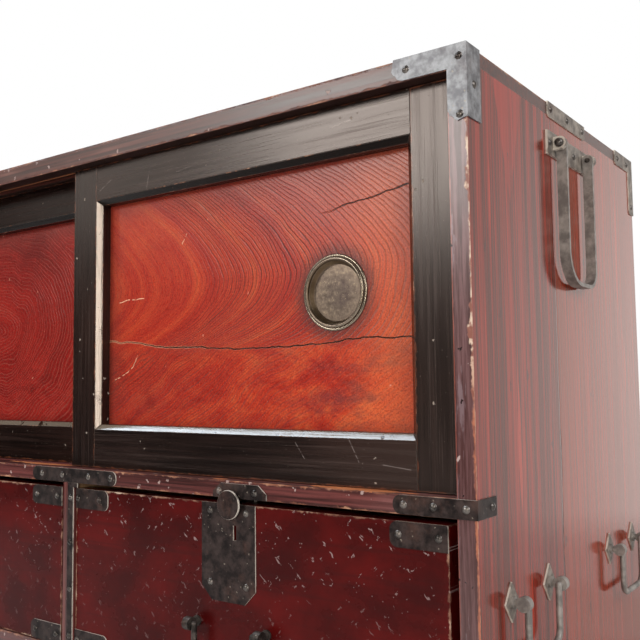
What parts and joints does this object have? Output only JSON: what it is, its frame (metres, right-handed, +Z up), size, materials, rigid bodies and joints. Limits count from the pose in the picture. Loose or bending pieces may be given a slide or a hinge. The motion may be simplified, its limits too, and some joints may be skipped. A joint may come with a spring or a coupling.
{
  "type": "small tansu chest",
  "caption": "Lacquered wooden chest with two framed sliding doors above two drawers, bound with iron straps and fitted with swinging side handles.",
  "frame": {"origin": "on the underside, in the middle of the case's width and depth", "axes": "+X to the chest's right seen from the front, +Y from the front to the back, +Z up"},
  "size_m": [0.9422, 0.4398, 0.5312],
  "materials": {
    "case_lacquer": "worn brown-red lacquer, satin",
    "black_lacquer": "black lacquer, polished",
    "zelkova_panel": "clear red lacquer over bold grain, polished",
    "drawer_lacquer": "deep red-brown lacquer, satin",
    "raw_wood": "bare pale wood, matt",
    "iron": "dark worn iron, satin",
    "bronze": "dark patinated bronze, satin"
  },
  "bodies": {
    "case": {"side_board_left": "case_lacquer", "side_board_right": "case_lacquer", "top_board": "case_lacquer", "bottom_board": "raw_wood", "base_rail": "case_lacquer", "upper_rail": "case_lacquer", "cupboard_floor": "raw_wood", "drawer_divider": "raw_wood", "back_boards": "raw_wood", "drawer_guides": "raw_wood", "drawer_stops": "raw_wood", "front_corner_plates": "iron", "rear_corner_brackets": "iron", "side_top_straps": "iron", "rail_corner_straps": "iron", "rail_center_strap": "iron", "strike_plates": "iron", "divider_strip": "iron", "base_corner_plates": "iron", "case_nails": "iron", "carry_handle_plates": "iron", "carry_handle_pins": "iron", "lift_handle_plates": "iron", "lift_handle_posts": "iron"},
    "right_door": {"right_door_meeting_stile": "black_lacquer", "right_door_outer_stile": "black_lacquer", "right_door_rails": "black_lacquer", "right_door_panel": "zelkova_panel", "right_door_finger_pull": "bronze"},
    "right_drawer": {"right_drawer_front": "drawer_lacquer", "right_drawer_box": "raw_wood", "right_drawer_floor": "raw_wood", "right_drawer_corner_plates": "iron", "right_drawer_lock_plate": "iron", "right_drawer_lock_case": "iron", "right_drawer_nails": "iron", "right_drawer_pull_posts": "iron"},
    "right_lock_bolt": {"right_drawer_lock_bolt": "iron"},
    "right_drawer_bail": {"right_drawer_pull_bail": "iron"},
    "right_carry_bail": {"carry_bail_right": "iron"},
    "right_lift_bail_front": {"lift_bail_right_front": "iron"},
    "right_lift_bail_rear": {"lift_bail_right_rear": "iron"},
    "left_door": {"left_door_meeting_stile": "black_lacquer", "left_door_outer_stile": "black_lacquer", "left_door_rails": "black_lacquer", "left_door_panel": "zelkova_panel", "left_door_finger_pull": "bronze"},
    "left_drawer": {"left_drawer_front": "drawer_lacquer", "left_drawer_box": "raw_wood", "left_drawer_floor": "raw_wood", "left_drawer_corner_plates": "iron", "left_drawer_lock_plate": "iron", "left_drawer_lock_case": "iron", "left_drawer_nails": "iron", "left_drawer_pull_posts": "iron"},
    "left_lock_bolt": {"left_drawer_lock_bolt": "iron"},
    "left_drawer_bail": {"left_drawer_pull_bail": "iron"},
    "left_carry_bail": {"carry_bail_left": "iron"},
    "left_lift_bail_front": {"lift_bail_left_front": "iron"},
    "left_lift_bail_rear": {"lift_bail_left_rear": "iron"}
  },
  "joints": [
    {"name": "right_door_slide", "type": "slide", "parent": "case", "child": "right_door", "axis": [1, 0, 0], "range_m": [-0.425, 0]},
    {"name": "right_drawer_slide", "type": "slide", "parent": "case", "child": "right_drawer", "axis": [0, -1, 0], "range_m": [0, 0.33]},
    {"name": "right_lock_bolt_slide", "type": "slide", "parent": "right_drawer", "child": "right_lock_bolt", "axis": [0, 0, 1], "range_m": [0, 0.008]},
    {"name": "right_drawer_bail_hinge", "type": "hinge", "parent": "right_drawer", "child": "right_drawer_bail", "pos_m": [0.22, -0.221, 0.073], "axis": [-1, 0, 0], "range_deg": [-10, 175]},
    {"name": "right_carry_bail_hinge", "type": "hinge", "parent": "case", "child": "right_carry_bail", "pos_m": [0.46235, 0, 0.4934], "axis": [0, -1, 0], "range_deg": [0, 175]},
    {"name": "right_lift_bail_front_hinge", "type": "hinge", "parent": "case", "child": "right_lift_bail_front", "pos_m": [0.4655, -0.12, 0.1165], "axis": [0, -1, 0], "range_deg": [-8, 175]},
    {"name": "right_lift_bail_rear_hinge", "type": "hinge", "parent": "case", "child": "right_lift_bail_rear", "pos_m": [0.4655, 0.12, 0.1165], "axis": [0, -1, 0], "range_deg": [-8, 175]},
    {"name": "left_door_slide", "type": "slide", "parent": "case", "child": "left_door", "axis": [1, 0, 0], "range_m": [0, 0.425]},
    {"name": "left_drawer_slide", "type": "slide", "parent": "case", "child": "left_drawer", "axis": [0, -1, 0], "range_m": [0, 0.33]},
    {"name": "left_lock_bolt_slide", "type": "slide", "parent": "left_drawer", "child": "left_lock_bolt", "axis": [0, 0, 1], "range_m": [0, 0.008]},
    {"name": "left_drawer_bail_hinge", "type": "hinge", "parent": "left_drawer", "child": "left_drawer_bail", "pos_m": [-0.224, -0.221, 0.073], "axis": [-1, 0, 0], "range_deg": [-10, 175]},
    {"name": "left_carry_bail_hinge", "type": "hinge", "parent": "case", "child": "left_carry_bail", "pos_m": [-0.46235, 0, 0.4934], "axis": [0, 1, 0], "range_deg": [0, 175]},
    {"name": "left_lift_bail_front_hinge", "type": "hinge", "parent": "case", "child": "left_lift_bail_front", "pos_m": [-0.4655, -0.12, 0.1165], "axis": [0, 1, 0], "range_deg": [-8, 175]},
    {"name": "left_lift_bail_rear_hinge", "type": "hinge", "parent": "case", "child": "left_lift_bail_rear", "pos_m": [-0.4655, 0.12, 0.1165], "axis": [0, 1, 0], "range_deg": [-8, 175]}
  ]
}
